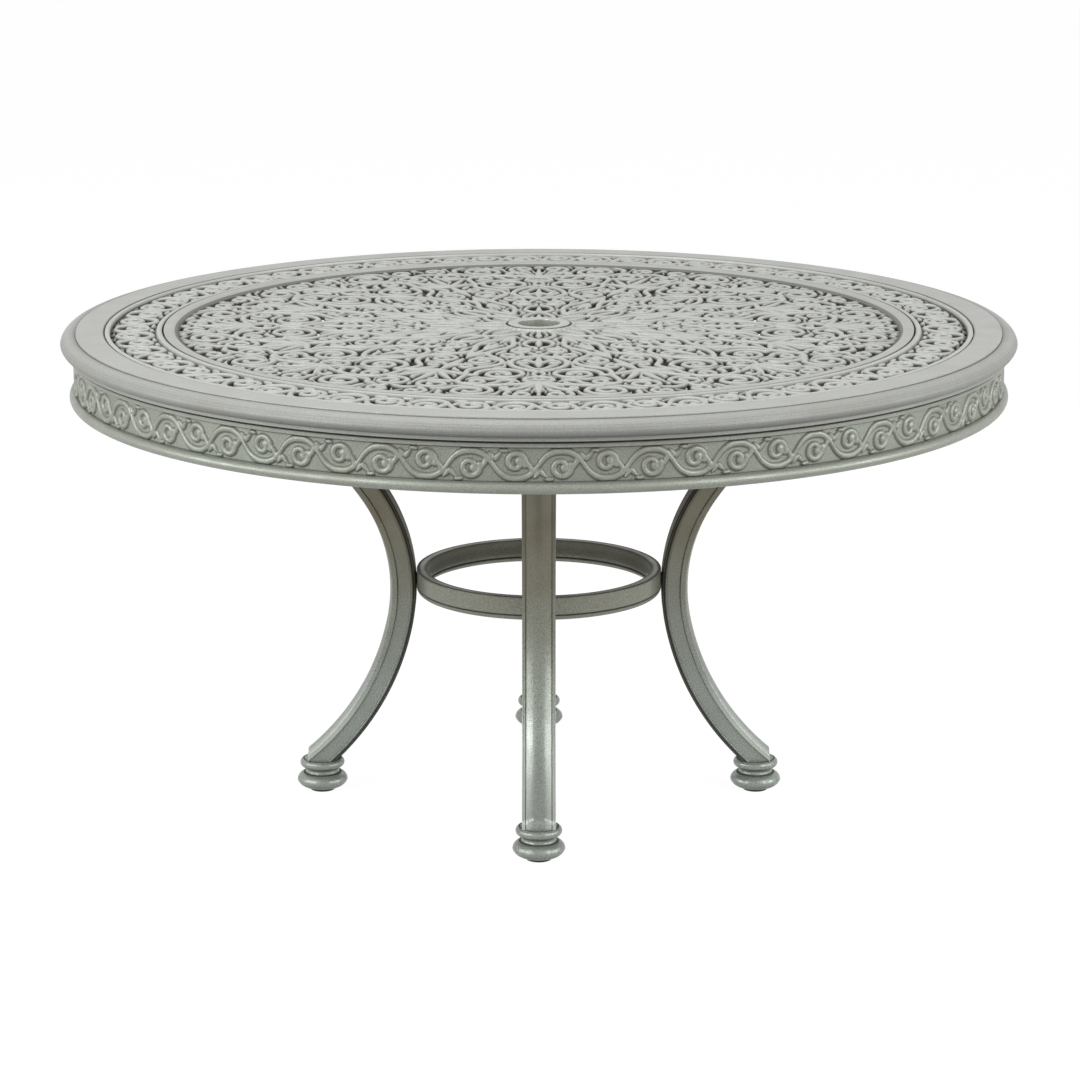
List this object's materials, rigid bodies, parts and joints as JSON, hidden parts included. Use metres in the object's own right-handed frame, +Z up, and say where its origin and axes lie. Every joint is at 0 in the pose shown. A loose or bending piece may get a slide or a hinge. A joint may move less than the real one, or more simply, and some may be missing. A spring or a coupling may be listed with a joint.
{
  "type": "umbrella table",
  "caption": "Round cast-aluminium patio table with an umbrella hole, a pierced scrollwork top whose inlaid disc turns, and bowed legs on a ring stretcher.",
  "frame": {"origin": "centre of the table on the floor", "axes": "+Z up along the umbrella hole; one leg towards each of +X, +Y, -X and -Y"},
  "size_m": [1.3718, 1.372, 0.704],
  "materials": {
    "cast_aluminium": "cast aluminium, powder coated in a grey-green pewter with a fine metallic fleck",
    "steel": "zinc plated steel",
    "nylon": "natural nylon",
    "spacer_nylon": "black nylon washer",
    "black_nylon": "moulded black nylon"
  },
  "bodies": {
    "base": {"rim_casting": "cast_aluminium", "scroll_band": "cast_aluminium", "ledge_ring": "cast_aluminium", "slide_pads": "nylon", "apron_ring": "cast_aluminium", "spider_hub": "cast_aluminium", "umbrella_tube": "cast_aluminium", "tube_ring_nut": "steel", "lower_race": "steel", "stretcher_ring": "cast_aluminium", "stretcher_spacers": "spacer_nylon", "stretcher_bolts": "steel", "leg_bolts": "steel", "hub_bolts": "steel", "rim_screws": "steel", "ledge_screws": "steel", "apron_screws": "steel", "frame_nuts": "steel", "spider_arm_right": "cast_aluminium", "leg_right": "cast_aluminium", "leg_plate_right": "cast_aluminium", "foot_right": "cast_aluminium", "spider_arm_back": "cast_aluminium", "leg_back": "cast_aluminium", "leg_plate_back": "cast_aluminium", "foot_back": "cast_aluminium", "spider_arm_left": "cast_aluminium", "leg_left": "cast_aluminium", "leg_plate_left": "cast_aluminium", "foot_left": "cast_aluminium", "spider_arm_front": "cast_aluminium", "leg_front": "cast_aluminium", "leg_plate_front": "cast_aluminium", "foot_front": "cast_aluminium"},
    "turntable": {"scroll_disc": "cast_aluminium", "turntable_rim": "cast_aluminium", "turntable_boss": "cast_aluminium", "turntable_spokes": "cast_aluminium", "upper_race": "steel"},
    "bearing": {"ball_cage": "nylon", "bearing_balls": "steel"},
    "leveller_right": {"glide_right": "black_nylon", "glide_stud_right": "steel"},
    "leveller_back": {"glide_back": "black_nylon", "glide_stud_back": "steel"},
    "leveller_left": {"glide_left": "black_nylon", "glide_stud_left": "steel"},
    "leveller_front": {"glide_front": "black_nylon", "glide_stud_front": "steel"}
  },
  "joints": [
    {"name": "turntable_spin", "type": "hinge", "parent": "base", "child": "turntable", "pos_m": [0, 0, 0.69], "axis": [0, 0, 1], "continuous": true},
    {"name": "bearing_roll", "type": "hinge", "parent": "base", "child": "bearing", "pos_m": [0, 0, 0.68], "axis": [0, 0, 1], "continuous": true},
    {"name": "leveller_right_screw", "type": "slide", "parent": "base", "child": "leveller_right", "axis": [0, 0, -1], "range_m": [0, 0.008]},
    {"name": "leveller_back_screw", "type": "slide", "parent": "base", "child": "leveller_back", "axis": [0, 0, -1], "range_m": [0, 0.008]},
    {"name": "leveller_left_screw", "type": "slide", "parent": "base", "child": "leveller_left", "axis": [0, 0, -1], "range_m": [0, 0.008]},
    {"name": "leveller_front_screw", "type": "slide", "parent": "base", "child": "leveller_front", "axis": [0, 0, -1], "range_m": [0, 0.008]}
  ],
  "couplings": [
    {"joint": "bearing_roll", "follows": "turntable_spin", "ratio": 0.5}
  ]
}
